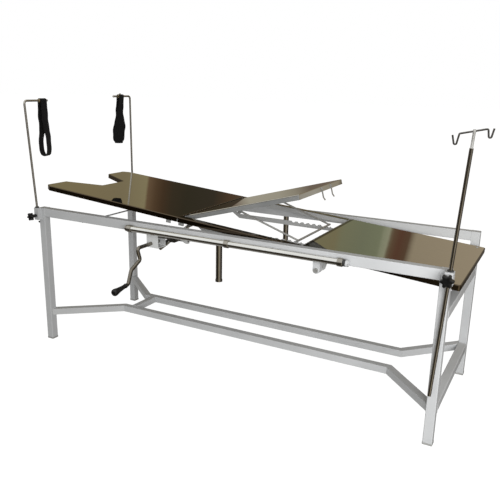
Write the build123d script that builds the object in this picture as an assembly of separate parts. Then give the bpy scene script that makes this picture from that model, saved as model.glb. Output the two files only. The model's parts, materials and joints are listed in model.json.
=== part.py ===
from build123d import *
import math
import os

os.makedirs("parts", exist_ok=True)

# An obstetric delivery table: a square-tube frame, a stainless top that tilts
# about a cross axis near its head end, a hinged backrest with a ratchet prop,
# a hand crank that drives the tilt, two sling rods at the foot end and an
# infusion pole at the head end.  Millimetres, +X to the head end, +Z up.

# ---- driving dimensions ----------------------------------------------------
LEN, WID, RAIL_TOP = 1900.0, 680.0, 710.0    # over the legs; top of the rails
LEG, WALL = 35.0, 2.0                        # square leg tube
RAIL_H = 40.0
STR, STR_TOP, STR_Y = 30.0, 200.0, 94.0      # lower stretchers
BEND_FOOT, BEND_HEAD = -653.0, 712.0
TILT = 4.8                                   # tilt in the resting pose
TOP_K0 = 733.0                               # height of the top plane at x = 0
PIVOT_X, PIVOT_Z = 468.0, 632.0              # tilt axis, along Y
TOP_HW = 295.0                               # half width of the top
S_FOOT, S_SEAT, S_HEAD, S_END = -952.0, -185.0, 377.0, 983.0
SHEET, SKIRT = 1.5, 22.0
HINGE_S, HINGE_K = -172.0, -12.0             # backrest hinge, along Y
FLAP_HW, FLAP_S0, FLAP_S1 = 240.0, -160.0, 366.0
RAISE = 20.3                                 # backrest angle in the resting pose
PROP_S, PROP_K, PROP_L, PROP_A = 57.0, -30.0, 282.6, 33.9
PROP_Y, RACK_Y, RACK_T = 173.0, 165.0, 5.0
CRANK_X, CRANK_Z = -308.0, 620.0
SCREW_Y, SCREW_Z = -290.0, 650.0
GEAR_R = 14.8
NUT_X = -208.0
LINK_X, LINK_Z, LINK_Y, LINK_L, LINK_A = -290.0, 600.0, -243.0, 175.0, 38.9
CRANK_R = 8.0
ROD_X, ROD_Y = -945.0, 352.0                 # sling rods
IV_X, IV_Y = 948.0, -357.0                   # infusion pole
LEAN_NEAR, LEAN_IV = -4.0, 3.0               # both stand a little out of plumb
LEAN_NEAR_Z, LEAN_IV_Z = 684.0, 689.0
FIT = 0.05                                   # running clearance on a radius
# the origin is moved to the middle of the underside of the whole object
SHIFT_X, SHIFT_Y = 16.382, -85.488
FLOOR = 45.0                                 # height of the floor in the drawing's own coordinates

TOP = Pos(0, 0, TOP_K0) * Rot(0, TILT, 0)
FLAP = TOP * Pos(HINGE_S, 0, HINGE_K) * Rot(0, -RAISE, 0) * Pos(-HINGE_S, 0, -HINGE_K)
PROP = FLAP * Pos(PROP_S, 0, PROP_K) * Rot(0, PROP_A, 0)

nodes = {}


def box(x0, x1, y0, y1, z0, z1):
    return Pos((x0 + x1) / 2, (y0 + y1) / 2, (z0 + z1) / 2) * Box(abs(x1 - x0), abs(y1 - y0), abs(z1 - z0))


def rod(p, q, r, hole=0.0):
    p, q = Vector(*p), Vector(*q)
    d = q - p
    face = Circle(r) - Circle(hole) if hole else Circle(r)
    return extrude(Plane(origin=p, z_dir=d.normalized()) * face, amount=d.length)


def square_tube(p, q, w, h, t, up=(0, 0, 1)):
    """Tube from p to q: w across, h along up, wall t."""
    p, q = Vector(*p), Vector(*q)
    d = q - p
    side = Vector(*up).cross(d.normalized())
    face = RectangleRounded(w, h, 3) - RectangleRounded(w - 2 * t, h - 2 * t, 1.2)
    return extrude(Plane(origin=p, x_dir=side, z_dir=d.normalized()) * face, amount=d.length)


def ribbon(pts, hw):
    """Outline of a band of half width hw along a flat path."""
    left, right = [], []
    n = len(pts)
    for i, (x, y) in enumerate(pts):
        dirs = []
        if i > 0:
            dirs.append((x - pts[i - 1][0], y - pts[i - 1][1]))
        if i < n - 1:
            dirs.append((pts[i + 1][0] - x, pts[i + 1][1] - y))
        norms = [(-b / math.hypot(a, b), a / math.hypot(a, b)) for a, b in dirs]
        mx, my = sum(v[0] for v in norms) / len(norms), sum(v[1] for v in norms) / len(norms)
        m2 = mx * mx + my * my
        ox, oy = mx / m2 * hw, my / m2 * hw
        left.append((x + ox, y + oy))
        right.append((x - ox, y - oy))
    return make_face(Polyline(*left, *reversed(right), close=True))


def plate_xz(pts, y0, y1):
    """Flat outline given as (x, z) pairs, between y0 and y1."""
    face = make_face(Polyline(*[(x, 0, z) for x, z in pts], close=True))
    solid = extrude(face, amount=abs(y1 - y0), dir=(0, 1, 0))
    return Pos(0, min(y0, y1), 0) * solid


def bent(plane, pts, bend, r):
    """Round wire along a flat path with rounded corners."""
    path = plane * FilletPolyline(*pts, radius=bend)
    return sweep(Plane(origin=path @ 0, z_dir=path % 0) * Circle(r), path=path)


def put(name, *shapes):
    solids = [s for shape in shapes for s in shape.solids()]
    nodes[name] = solids


def mirrored(solids):
    return [s.mirror(Plane.XZ) for s in solids]


# ---- frame -----------------------------------------------------------------
hx, hy = LEN / 2, WID / 2
rail_y = hy - LEG / 2
CAP = 8.0

leg_face = RectangleRounded(LEG, LEG, 3)
leg_inner = RectangleRounded(LEG - 2 * WALL, LEG - 2 * WALL, 1.5)


def leg(sx, sy):
    at = Pos(sx * (hx - LEG / 2), sy * (hy - LEG / 2), FLOOR + CAP)
    tall = RAIL_TOP - FLOOR - CAP
    return at * (extrude(leg_face, amount=tall) - extrude(leg_inner, amount=tall - 2))


def foot(sx, sy):
    at = Pos(sx * (hx - LEG / 2), sy * (hy - LEG / 2), FLOOR)
    cap = extrude(RectangleRounded(LEG + 2, LEG + 2, 4), amount=CAP)
    plug = Pos(0, 0, CAP) * extrude(RectangleRounded(LEG - 2 * WALL - 0.4, LEG - 2 * WALL - 0.4, 1.5), amount=20)
    return at * (cap + plug)


put("leg_foot_near", leg(-1, -1))
put("leg_foot_far", leg(-1, 1))
put("leg_head_near", leg(1, -1))
put("leg_head_far", leg(1, 1))
put("foot_caps", *[foot(a, b) for a in (-1, 1) for b in (-1, 1)])

rail_in = hx - LEG
rail = square_tube((-rail_in, -rail_y, RAIL_TOP - RAIL_H / 2), (rail_in, -rail_y, RAIL_TOP - RAIL_H / 2), LEG, RAIL_H, WALL)
put("side_rail_near", rail)
nodes["side_rail_far"] = mirrored(nodes["side_rail_near"])

put("head_crossbar_upper", square_tube((hx - LEG / 2, -hy + LEG, 537.5), (hx - LEG / 2, hy - LEG, 537.5), LEG, LEG, WALL))
put("head_crossbar_lower", square_tube((hx - LEG / 2, -hy + LEG, 182.5), (hx - LEG / 2, hy - LEG, 182.5), LEG, LEG, WALL))

s_path = [(-(hx - LEG / 2), -rail_y), (BEND_FOOT, -STR_Y), (BEND_HEAD, -STR_Y), (hx - LEG / 2, -rail_y)]
stretcher = Pos(0, 0, STR_TOP - STR) * extrude(ribbon(s_path, STR / 2), amount=STR)
stretcher -= Pos(0, 0, STR_TOP - STR + WALL) * extrude(ribbon(s_path, STR / 2 - WALL), amount=STR - 2 * WALL)
for sx in (-1, 1):
    cx = sx * (hx - LEG / 2)
    stretcher -= box(cx - LEG / 2, cx + LEG / 2, -hy, -hy + LEG, 100, 300)
stretcher -= box(hx - LEG, hx, -hy, hy, 100, 300)
stretcher -= box(-hx - 60, -hx + 2, -hy - 60, -hy + 60, 100, 300)
stretcher -= box(-hx - 60, -hx + LEG, -hy - 60, -hy + LEG, 100, 300)
stretcher = max(stretcher.solids(), key=lambda s: s.volume)
put("stretchers", stretcher, *mirrored([stretcher]))
put("stretcher_crossbar", square_tube((-605, -STR_Y + STR / 2, STR_TOP - STR / 2), (-605, STR_Y - STR / 2, STR_TOP - STR / 2), STR, STR, WALL))

TIE_X = -698.0
# thin tie rod under the rails at the foot end, with a weld pad at each end
tie = rod((TIE_X, -318, 666), (TIE_X, 318, 666), 3.5)
for sy in (-1, 1):
    tie += box(TIE_X - 7, TIE_X + 7, sy * 306, sy * 319, 664, 670)
put("foot_tie_rod", tie)

# stainless side tubes on stand-off clips
tube_r, tube_y, tube_z = 12.7, 354.7, 683.0
tube = rod((-412, -tube_y, tube_z), (597, -tube_y, tube_z), tube_r, tube_r - 1.2)
for x0, x1 in ((-412, -410), (583, 597)):
    tube += rod((x0, -tube_y, tube_z), (x1, -tube_y, tube_z), tube_r)
put("side_tubes", tube, *mirrored(tube.solids()))
clips = []
for cx in (-391, 92, 566):
    c = rod((cx - 9, -tube_y, tube_z), (cx + 9, -tube_y, tube_z), tube_r + 3) + box(cx - 9, cx + 9, -tube_y, -hy, tube_z - 13, tube_z + 13)
    c -= rod((cx - 12, -tube_y, tube_z), (cx + 12, -tube_y, tube_z), tube_r)
    c -= box(cx - 12, cx + 12, -hy, -hy + 30, 600, 800)
    clips.append(c)
clips = [s for c in clips for s in c.solids()]
put("side_tube_clips", *clips, *mirrored(clips))

# vertical accessory tubes under the rails: the outlet at the bottom takes a post
acc_r, acc_bore, acc_x = 13.0, 11.2, 38.0
ACC_Z0, ACC_DEEP = 510.0, 150.0
acc = rod((acc_x, -rail_y, ACC_Z0), (acc_x, -rail_y, RAIL_TOP - RAIL_H), acc_r)
acc += rod((acc_x, -rail_y, ACC_Z0), (acc_x, -rail_y, ACC_Z0 + 9), acc_r + 1.6)
acc -= rod((acc_x, -rail_y, ACC_Z0 - 1), (acc_x, -rail_y, ACC_Z0 + ACC_DEEP), acc_bore)
put("accessory_tube_near", acc)
nodes["accessory_tube_far"] = mirrored(nodes["accessory_tube_near"])

# lugs that carry the tilt pivot, and the pivot pins
lug = box(PIVOT_X - 14, PIVOT_X + 14, -338, -312, PIVOT_Z, RAIL_TOP - RAIL_H)
lug += rod((PIVOT_X, -338, PIVOT_Z), (PIVOT_X, -312, PIVOT_Z), 14)
lug -= rod((PIVOT_X, -345, PIVOT_Z), (PIVOT_X, -300, PIVOT_Z), 6.0)
put("pivot_lugs", lug, *mirrored(lug.solids()))
pin = rod((PIVOT_X, -338, PIVOT_Z), (PIVOT_X, -275, PIVOT_Z), 6.0)
pin += extrude(Plane(origin=(PIVOT_X, -338, PIVOT_Z), z_dir=(0, -1, 0)) * RegularPolygon(9.5, 6), amount=6)
put("pivot_pins", pin, *mirrored(pin.solids()))

# ---- tilting top (drawn flat, then tilted) ---------------------------------
cut = [(S_FOOT, 156), (-785, 80)]
outline = [(S_SEAT, -TOP_HW), (S_FOOT + 30, -TOP_HW), (S_FOOT, -TOP_HW + 20), (cut[0][0], -cut[0][1]), (cut[1][0], -cut[1][1]),
           (cut[1][0], cut[1][1]), (cut[0][0], cut[0][1]), (S_FOOT, TOP_HW - 20), (S_FOOT + 30, TOP_HW), (S_SEAT, TOP_HW)]
seat_face = make_face(Polyline(*outline, close=True))
seat = Pos(0, 0, -SHEET) * extrude(seat_face, amount=SHEET)
seat_skirt = extrude(seat_face - offset(seat_face, -SHEET, kind=Kind.INTERSECTION), amount=-SKIRT)
seat_skirt -= box(S_SEAT - SHEET - 0.1, S_SEAT + 1, -TOP_HW + SHEET, TOP_HW - SHEET, -SKIRT - 1, -SHEET)
seat += seat_skirt
put("seat_panel", TOP * seat)

head_face = Pos((S_HEAD + S_END) / 2, 0) * Rectangle(S_END - S_HEAD, 2 * TOP_HW)
head_in = Pos((S_HEAD + S_END - SHEET) / 2, 0) * Rectangle(S_END - S_HEAD - SHEET, 2 * (TOP_HW - SHEET))
head = Pos(0, 0, -SHEET) * extrude(head_face, amount=SHEET) + extrude(head_face - head_in, amount=-SKIRT)
put("head_panel", TOP * head)

strip = box(S_SEAT, S_HEAD, -TOP_HW, -TOP_HW + 30, -SHEET, 0) + box(S_SEAT, S_HEAD, -TOP_HW, -TOP_HW + SHEET, -SKIRT, -SHEET / 2)
strip = TOP * strip
put("edge_strips", strip, *mirrored(strip.solids()))

# painted tube frame under the sheets
FO, FI, FB, FT = 292.0, 267.0, -SKIRT, -SHEET


def ring_tube(x0, x1, y0, y1, along):
    outer = box(x0, x1, y0, y1, FB, FT)
    if along == "x":
        return outer - box(x0 - 1, x1 + 1, y0 + 1.5, y1 - 1.5, FB + 1.5, FT - 1.5)
    return outer - box(x0 + 1.5, x1 - 1.5, y0 - 1, y1 + 1, FB + 1.5, FT - 1.5)


frame_top = ring_tube(-915, 978, -FO, -FI, "x") + ring_tube(-915, 978, FI, FO, "x")
for x0, x1 in ((-775, -750), (-207, -185), (379, 404), (953, 978)):
    frame_top += ring_tube(x0, x1, -FI, FI, "y")
# angle that takes the lift link, on the inner side of the near member
pad = box(-184, -126, -FI, -FI + 4, -25, -3) + box(-184, -126, -FI, -229, -25, -22.6)
pad += box(-262, -180, -FI, -FI + 4, -25, -22.6) + box(-262, -210, -FI, -FI + 4, -25, -3)
for x0, x1 in ((-262, -240), (-198, -172)):
    pad += box(x0, x1, -FI, -FI + 5, -44, -24)
pad -= rod((HINGE_S, -FI - 1, HINGE_K), (HINGE_S, -FI + 6, HINGE_K), 5.0)
put("top_frame", TOP * frame_top)
put("lift_pad", TOP * pad)

# pivot plates from the side members down to the tilt axis
piv = TOP.inverse() * Pos(PIVOT_X, 0, PIVOT_Z)
ps, pk = piv.position.X, piv.position.Z
plate = plate_xz([(ps - 24, FB), (ps + 24, FB), (ps + 15, pk), (ps - 15, pk)], -283, -277)
plate += rod((ps, -283, pk), (ps, -277, pk), 15)
plate -= rod((ps, -284, pk), (ps, -276, pk), 6.0 + FIT)
plate = TOP * plate
put("pivot_plates", plate, *mirrored(plate.solids()))

# backrest hinge rod between the side members
put("backrest_hinge_rod", TOP * rod((HINGE_S, -FI, HINGE_K), (HINGE_S, FI, HINGE_K), 5.0))


def rack_line(s):
    return -68 + (s + 134) / 468 * 37


# ratchet racks: a toothed bar with a strap at each end
pts = [(-134, rack_line(-134) - 10), (334, rack_line(334) - 10), (346, -39), (403, -39), (403, FB), (384, FB), (384, -27),
       (340, -27), (334, rack_line(334) + 6)]
notches = [324, 295, 266, 237, 208, 179, 150]
edge = []
for n in notches:
    lz = rack_line(n)
    edge += [(n + 9, lz + 10.4), (n + 4, lz + 4.5), (n - 4, lz + 4.5), (n - 9, lz + 10.4)]
pts += [(p[0], p[1]) for p in edge]
pts += [(-134, rack_line(-134) + 10), (-187, -36), (-187, FB), (-206, FB), (-206, -38)]
rack = plate_xz(pts, -RACK_Y - RACK_T / 2, -RACK_Y + RACK_T / 2)
rack = TOP * rack
put("ratchet_racks", rack, *mirrored(rack.solids()))

# domed bolts in the head panel
bolts = []
for sy in (-1, 1):
    dome = Pos(952, sy * 268, 0) * (Cylinder(6, 2, align=(Align.CENTER, Align.CENTER, Align.MIN)))
    dome = fillet(dome.edges().sort_by(Axis.Z)[-1], 1.6)
    bolts.append(TOP * dome)
put("panel_bolts", *bolts)

# ---- backrest --------------------------------------------------------------
f_out, f_in = FLAP_HW, FLAP_HW - 25


def flap_tube(x0, x1, y0, y1, along):
    outer = box(x0, x1, y0, y1, -SKIRT, -SHEET)
    if along == "x":
        return outer - box(x0 - 1, x1 + 1, y0 + 1.5, y1 - 1.5, -SKIRT + 1.5, -SHEET - 1.5)
    return outer - box(x0 + 1.5, x1 - 1.5, y0 - 1, y1 + 1, -SKIRT + 1.5, -SHEET - 1.5)


flap_end = FLAP_S1 - SHEET
flap = flap_tube(FLAP_S0, flap_end, -f_out, -f_in, "x") + flap_tube(FLAP_S0, flap_end, f_in, f_out, "x")
for x0, x1 in ((FLAP_S0, FLAP_S0 + 22), (46, 68), (flap_end - 18, flap_end)):
    flap += flap_tube(x0, x1, -f_in, f_in, "y")
# ears round the hinge rod
for y0 in (-234, 228):
    ear = rod((HINGE_S, y0, HINGE_K), (HINGE_S, y0 + 6, HINGE_K), 9.0) + box(HINGE_S, FLAP_S0 + 4, y0, y0 + 6, -21, -3)
    ear -= rod((HINGE_S, y0 - 1, HINGE_K), (HINGE_S, y0 + 7, HINGE_K), 5.0 + FIT)
    flap += ear
# lugs for the prop
for sy in (-1, 1):
    y0, y1 = sorted((sy * 179.5, sy * 184.5))
    flap += plate_xz([(PROP_S - 11, -SKIRT + 1), (PROP_S + 11, -SKIRT + 1), (PROP_S + 8, PROP_K), (PROP_S - 8, PROP_K)], y0, y1)
    flap += rod((PROP_S, y0, PROP_K), (PROP_S, y1, PROP_K), 8)
for sy in (-1, 1):
    flap -= rod((PROP_S, sy * 178, PROP_K), (PROP_S, sy * 186, PROP_K), 3.0)
put("backrest_frame", FLAP * flap)

sheet = box(FLAP_S0, FLAP_S1, -FLAP_HW, FLAP_HW, -SHEET, 0) + box(flap_end, FLAP_S1, -FLAP_HW, FLAP_HW, -SKIRT, -SHEET / 2)
put("backrest_panel", FLAP * sheet)

pins = []
for sy in (-1, 1):
    p = rod((PROP_S, sy * 168.5, PROP_K), (PROP_S, sy * 184.5, PROP_K), 3.0) + rod((PROP_S, sy * 184.5, PROP_K), (PROP_S, sy * 186.5, PROP_K), 5.0)
    pins.append(FLAP * p)
put("prop_pins", *pins)

hooks = []
for y in (-10, 95):
    h = box(FLAP_S1, FLAP_S1 + 2.5, y - 5, y + 5, -48, -3)
    h += plate_xz([(FLAP_S1, -47), (FLAP_S1 + 2.5, -47), (FLAP_S1 + 7.8, -58.5), (FLAP_S1 + 5.6, -60)], y - 5, y + 5)
    h += rod((FLAP_S1 + 2.5, y, -12), (FLAP_S1 + 4.2, y, -12), 3.2)
    hooks.append(FLAP * h)
put("backrest_hooks", *hooks)

# ---- ratchet prop ----------------------------------------------------------
arms = []
prop = None
for sy in (-1, 1):
    arm = rod((0, sy * PROP_Y, 0), (PROP_L, sy * PROP_Y, 0), 4.0)
    eye = rod((0, sy * (PROP_Y - 4), 0), (0, sy * (PROP_Y + 4), 0), 7.0)
    arm = arm + eye - rod((0, sy * (PROP_Y - 5), 0), (0, sy * (PROP_Y + 5), 0), 3.0 + FIT)
    prop = arm if prop is None else prop + arm
prop += rod((PROP_L, -180, 0), (PROP_L, 180, 0), 4.5)
put("prop_frame", PROP * prop)

# ---- crank and lift --------------------------------------------------------
# housing under the near rail, open towards the head end
hz0, hz1 = 602.0, 669.0
hx0, hx1, hy0, hy1 = -332.0, -272.0, -318.0, -262.0
house = box(hx0, hx1, hy0, hy1, hz0, hz1) - box(hx0 + 3, hx1 + 1, hy0 + 3, hy1 - 3, hz0 + 3, hz1 - 2.5)
house += box(hx0, hx1, -336, -308, hz1 - 2.5, RAIL_TOP - RAIL_H)
house += box(hx0, hx1, -318, -306, hz1 - 2.5, RAIL_TOP - RAIL_H)
house -= rod((CRANK_X, -330, CRANK_Z), (CRANK_X, -250, CRANK_Z), CRANK_R + FIT)
house -= rod((hx0 - 1, SCREW_Y, SCREW_Z), (hx0 + 4, SCREW_Y, SCREW_Z), 7.0 + FIT)
put("crank_housing", house)

hang = rod((-145, SCREW_Y, SCREW_Z), (-133, SCREW_Y, SCREW_Z), 13)
hang_face = make_face(Polyline((0, -334, 670), (0, -306, 670), (0, -300, 669), (0, -284, 661), (0, -296, 638.5), (0, -334, 662), close=True))
hang += Pos(-145, 0, 0) * extrude(hang_face, amount=12, dir=(1, 0, 0))
hang -= rod((-146, SCREW_Y, SCREW_Z), (-132, SCREW_Y, SCREW_Z), 7.0 + FIT)
put("screw_hanger", hang)

screws = []
for x in (-322, -282):
    screws.append(extrude(Plane(origin=(x, -327, hz1 - 2.5), z_dir=(0, 0, -1)) * RegularPolygon(5.5, 6), amount=4))
for sy in (-1, 1):
    screws.append(rod((ROD_X - 5, sy * hy, 642), (ROD_X - 5, sy * (hy + 3), 642), 4.5))
put("frame_screws", *screws)

crank = bent(Plane(origin=(CRANK_X, 0, 0), x_dir=(0, 1, 0), z_dir=(1, 0, 0)),
             [(-260, CRANK_Z), (-414, CRANK_Z), (-396, 566), (-458, 534), (-479, 480), (-492, 478.3)], 11.5, CRANK_R)
g0, gd = Vector(CRANK_X, -492, 478.3), Vector(0, -0.9917, -0.1288)
g1 = g0 + gd * 68
crank += rod(tuple(g0), tuple(g1), 4.0)
put("crank_arm", crank)


def gear(r, width, teeth, hole):
    g = Circle(r) - Circle(hole)
    for i in range(teeth):
        g -= Rot(0, 0, 360 * i / teeth) * Pos(r, 0) * Rectangle(3.4, 1.7)
    return extrude(g, amount=width / 2, both=True)


put("crank_gear", Pos(CRANK_X, SCREW_Y, CRANK_Z) * Rot(90, 0, 0) * gear(GEAR_R, 12, 18, CRANK_R))
put("screw_gear", Pos(CRANK_X, SCREW_Y, SCREW_Z) * Rot(0, 90, 0) * Rot(0, 0, 10) * gear(GEAR_R, 12, 18, 7.0))

# grip: a revolved handle on the crank's spindle
prof = [(4.0 + FIT, 1.5), (12.5, 1.5), (13.5, 8), (12.2, 30), (13.2, 52), (15.2, 66), (14.2, 77), (9, 82), (0, 83), (0, 70), (4.0 + FIT, 70)]
grip = revolve(make_face(Plane.XZ * Polyline(*prof, close=True)), axis=Axis.Z)
grip = Plane(origin=g0, z_dir=gd).location * grip
put("crank_grip", grip)

put("lift_screw", rod((hx0 + 0.5, SCREW_Y, SCREW_Z), (-134, SCREW_Y, SCREW_Z), 7.0))

nut = box(NUT_X - 12, NUT_X + 12, -303, -275, 636, 664)
nut += box(NUT_X - 12, NUT_X + 12, -276, -253, 636, 646)
nut -= rod((NUT_X - 14, SCREW_Y, SCREW_Z), (NUT_X + 14, SCREW_Y, SCREW_Z), 7.0 + FIT)
nut += plate_xz([(LINK_X - 1.3, LINK_Z + 1.6), (LINK_X - 7.0, LINK_Z + 8.5), (-250.2, 646.3), (-243, 651), (NUT_X + 12, 651), (NUT_X + 12, 636), (-232, 636),
                 (-248.3, 637.5)], -258, -253)
nut += rod((LINK_X, -258, LINK_Z), (LINK_X, -253, LINK_Z), 7.5)
nut -= rod((LINK_X, -259, LINK_Z), (LINK_X, -250, LINK_Z), 4.0)
put("lift_nut", nut)
put("link_pin", rod((LINK_X, -258, LINK_Z), (LINK_X, -232, LINK_Z), 4.0) + rod((LINK_X, -232, LINK_Z), (LINK_X, -229, LINK_Z), 6.5))

ux = LINK_X + LINK_L * math.cos(math.radians(LINK_A))
uz = LINK_Z + LINK_L * math.sin(math.radians(LINK_A))
tail = 34.0
tx = LINK_X - tail * math.cos(math.radians(LINK_A))
tz = LINK_Z - tail * math.sin(math.radians(LINK_A))
link = rod((tx, LINK_Y, tz), (ux, LINK_Y, uz), 7.8)
link -= rod((tx, LINK_Y, tz), (tx + 20 * math.cos(math.radians(LINK_A)), LINK_Y, tz + 20 * math.sin(math.radians(LINK_A))), 6.0)
link += rod((ux, LINK_Y - 8, uz), (ux, LINK_Y + 8, uz), 10.0)
link -= rod((LINK_X, LINK_Y - 12, LINK_Z), (LINK_X, LINK_Y + 12, LINK_Z), 4.0 + FIT)
put("lift_link", link)

# ---- sling rods at the foot end --------------------------------------------
SOCK_Z0, SOCK_Z1 = 655.0, 712.0
SLV_R, ROD_R = 7.4, 5.0


def lean(x, z, a):
    """Turn by a degrees about a cross axis through (x, z)."""
    return Pos(x, 0, z) * Rot(0, a, 0) * Pos(-x, 0, -z)


sockets = []
for side, sgn, zt, inner, tip in (("near", -1, 1202.5, 217.5, LEAN_NEAR), ("far", 1, 1218.0, 217.5, 0.0)):
    y = sgn * ROD_Y
    L = lean(ROD_X, LEAN_NEAR_Z, tip)
    b = box(ROD_X - 12, ROD_X + 12, sgn * hy, sgn * (hy + 22), SOCK_Z0, SOCK_Z1)
    b -= L * rod((ROD_X, y, SOCK_Z0 - 5), (ROD_X, y, SOCK_Z1 + 5), SLV_R + FIT)
    b -= rod((ROD_X, y, 676), (ROD_X, sgn * (hy + 23), 676), 4.0 + FIT)
    sockets.append(b)
    slv = rod((ROD_X, y, SOCK_Z0), (ROD_X, y, SOCK_Z1 + 3), SLV_R) + rod((ROD_X, y, SOCK_Z1 + 1.0), (ROD_X, y, SOCK_Z1 + 5), 9.5)
    slv -= rod((ROD_X, y, SOCK_Z0 - 1), (ROD_X, y, SOCK_Z1 + 6), ROD_R + FIT)
    put(f"stirrup_sleeve_{side}", L * slv)
    r = bent(Plane(origin=(ROD_X, 0, 0), x_dir=(0, 1, 0), z_dir=(1, 0, 0)), [(y, 657), (y, zt), (sgn * inner, zt)], 14, ROD_R)
    r += Pos(ROD_X, sgn * inner, zt) * Sphere(6.0)
    put(f"stirrup_rod_{side}", L * r)
    # clip on the arm, with a hanging webbing loop: both hang plumb from the arm
    ax = ROD_X + (zt - LEAN_NEAR_Z) * math.sin(math.radians(tip))
    az = LEAN_NEAR_Z + (zt - LEAN_NEAR_Z) * math.cos(math.radians(tip))
    print(side, "arm axis", round(ax, 3), round(az, 3))
    cy = sgn * (245.0 if sgn < 0 else 276.0)
    clip = rod((ax, cy - 20.5, az), (ax, cy + 20.5, az), 8.0)
    if sgn > 0:
        clip += rod((ax, cy - 6, az + 6), (ax, cy - 6, az + 15), 4.5)
    clip -= rod((ax, cy - 22, az), (ax, cy + 22, az), ROD_R + FIT)
    put(f"sling_clip_{side}", clip)
    drop = az - (946 if sgn < 0 else 968)
    low, wide = az - drop, az - drop + 62
    T = 2.4
    # upright loop: the band passes over the clip and hangs in a teardrop
    loop_o = make_face(Polyline((ax - 8.05 - T, 0, az), (ax - 19, 0, wide), (ax - 16, 0, low + 16), (ax - 7, 0, low + 2), (ax, 0, low),
                                (ax + 7, 0, low + 2), (ax + 16, 0, low + 16), (ax + 19, 0, wide), (ax + 8.05 + T, 0, az), close=True))
    loop_i = make_face(Polyline((ax - 8.05, 0, az), (ax - 19 + T, 0, wide), (ax - 16 + T, 0, low + 17), (ax - 6, 0, low + 2 + T), (ax, 0, low + T),
                                (ax + 6, 0, low + 2 + T), (ax + 16 - T, 0, low + 17), (ax + 19 - T, 0, wide), (ax + 8.05, 0, az), close=True))
    lo = extrude(loop_o, amount=40, dir=(0, 1, 0)) + rod((ax, 0, az), (ax, 40, az), 8.05 + T)
    li = Pos(0, -1, 0) * extrude(loop_i, amount=42, dir=(0, 1, 0)) + rod((ax, -1, az), (ax, 41, az), 8.05)
    web = Pos(0, cy - 20, 0) * (lo - li)
    if sgn > 0:
        web -= rod((ax, cy - 6, az), (ax, cy - 6, az + 20), 5.0)
    put(f"sling_{side}", web)
    # clamp knob: lobed head, hub and threaded stem
    ky = sgn * (hy + 22)
    knob = rod((ROD_X, sgn * (ROD_Y + SLV_R + 0.9), 676), (ROD_X, ky + sgn * 27, 676), 4.0)
    knob += rod((ROD_X, ky + sgn * 1.0, 676), (ROD_X, ky + sgn * 28, 676), 8.0)
    star = Circle(16)
    for i in range(6):
        star += Rot(0, 0, 60 * i) * Pos(14, 0) * Circle(5.2)
    star = extrude(star, amount=15)
    star = Plane(origin=(ROD_X, ky + sgn * 26.5, 676), x_dir=(1, 0, 0), z_dir=(0, sgn, 0)).location * star
    knob += star
    put(f"stirrup_knob_{side}", knob)
put("stirrup_sockets", *sockets)

# ---- infusion pole at the head end -----------------------------------------
IV_R, IV_SR = 6.5, 8.9
IZ0, IZ1 = 666.0, 712.0
LIV = lean(IV_X, LEAN_IV_Z, LEAN_IV)
sock = box(IV_X - 14, IV_X + 14, -hy - 32, -hy, IZ0, IZ1)
sock -= LIV * rod((IV_X, IV_Y, IZ0 - 5), (IV_X, IV_Y, IZ1 + 5), IV_SR + FIT)
sock -= rod((IV_X, IV_Y, 688), (IV_X, -hy - 33, 688), 4.0 + FIT)
put("iv_socket", sock)
slv = rod((IV_X, IV_Y, IZ0), (IV_X, IV_Y, IZ1 + 3), IV_SR) + rod((IV_X, IV_Y, IZ1 + 1.0), (IV_X, IV_Y, IZ1 + 5), 11.0)
slv -= rod((IV_X, IV_Y, IZ0 - 1), (IV_X, IV_Y, IZ1 + 6), IV_R + FIT)
put("iv_sleeve", LIV * slv)
# hook bar: one bent wire with a hook at each end, on a thin stem in the pole's top
hook_bar = bent(Plane(origin=(0, IV_Y, 0), x_dir=(1, 0, 0), z_dir=(0, -1, 0)),
                [(909, 1155), (915.5, 1127), (923, 1127), (929.5, 1160.5), (1013, 1179), (1016.5, 1153), (1024, 1153), (1030, 1181)], 4.0, 3.0)
put("iv_hook_bar", hook_bar)
put("iv_pole", LIV * rod((IV_X, IV_Y, 250), (IV_X, IV_Y, 1118), IV_R))
stem = LIV * rod((IV_X, IV_Y, 1118), (IV_X, IV_Y, 1173), 4.6)
stem -= hook_bar
stem = max(stem.solids(), key=lambda q: q.volume)
put("iv_hook_stem", stem)
iy = -hy - 32
knob = rod((IV_X, IV_Y - IV_SR - 0.6, 688), (IV_X, iy - 14, 688), 4.0) + rod((IV_X, iy - 1, 688), (IV_X, iy - 15, 688), 10)
star = Circle(19)
for i in range(6):
    star += Rot(0, 0, 60 * i + 30) * Pos(17, 0) * Circle(7)
star = Plane(origin=(IV_X, iy - 12, 688), x_dir=(1, 0, 0), z_dir=(0, -1, 0)).location * extrude(star, amount=20)
knob += star
put("iv_knob", knob)

# ---- write -----------------------------------------------------------------
all_solids = [s for group in nodes.values() for s in group]
bb = Compound(children=[copy for copy in [s.moved(Location((0, 0, 0))) for s in all_solids]]).bounding_box()
print("bounds", [round(v, 2) for v in (bb.min.X, bb.min.Y, bb.min.Z, bb.max.X, bb.max.Y, bb.max.Z)])
print("centre", round((bb.min.X + bb.max.X) / 2, 3), round((bb.min.Y + bb.max.Y) / 2, 3), "nodes", len(nodes))
for name, group in nodes.items():
    moved = [s.moved(Location((-SHIFT_X, -SHIFT_Y, -FLOOR))) for s in group]
    shape = moved[0] if len(moved) == 1 else Compound(children=moved)
    export_step(shape, f"parts/{name}.step")
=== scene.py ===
import math
import random
import json

import bpy
import bmesh
from mathutils import Matrix, Vector


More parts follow.
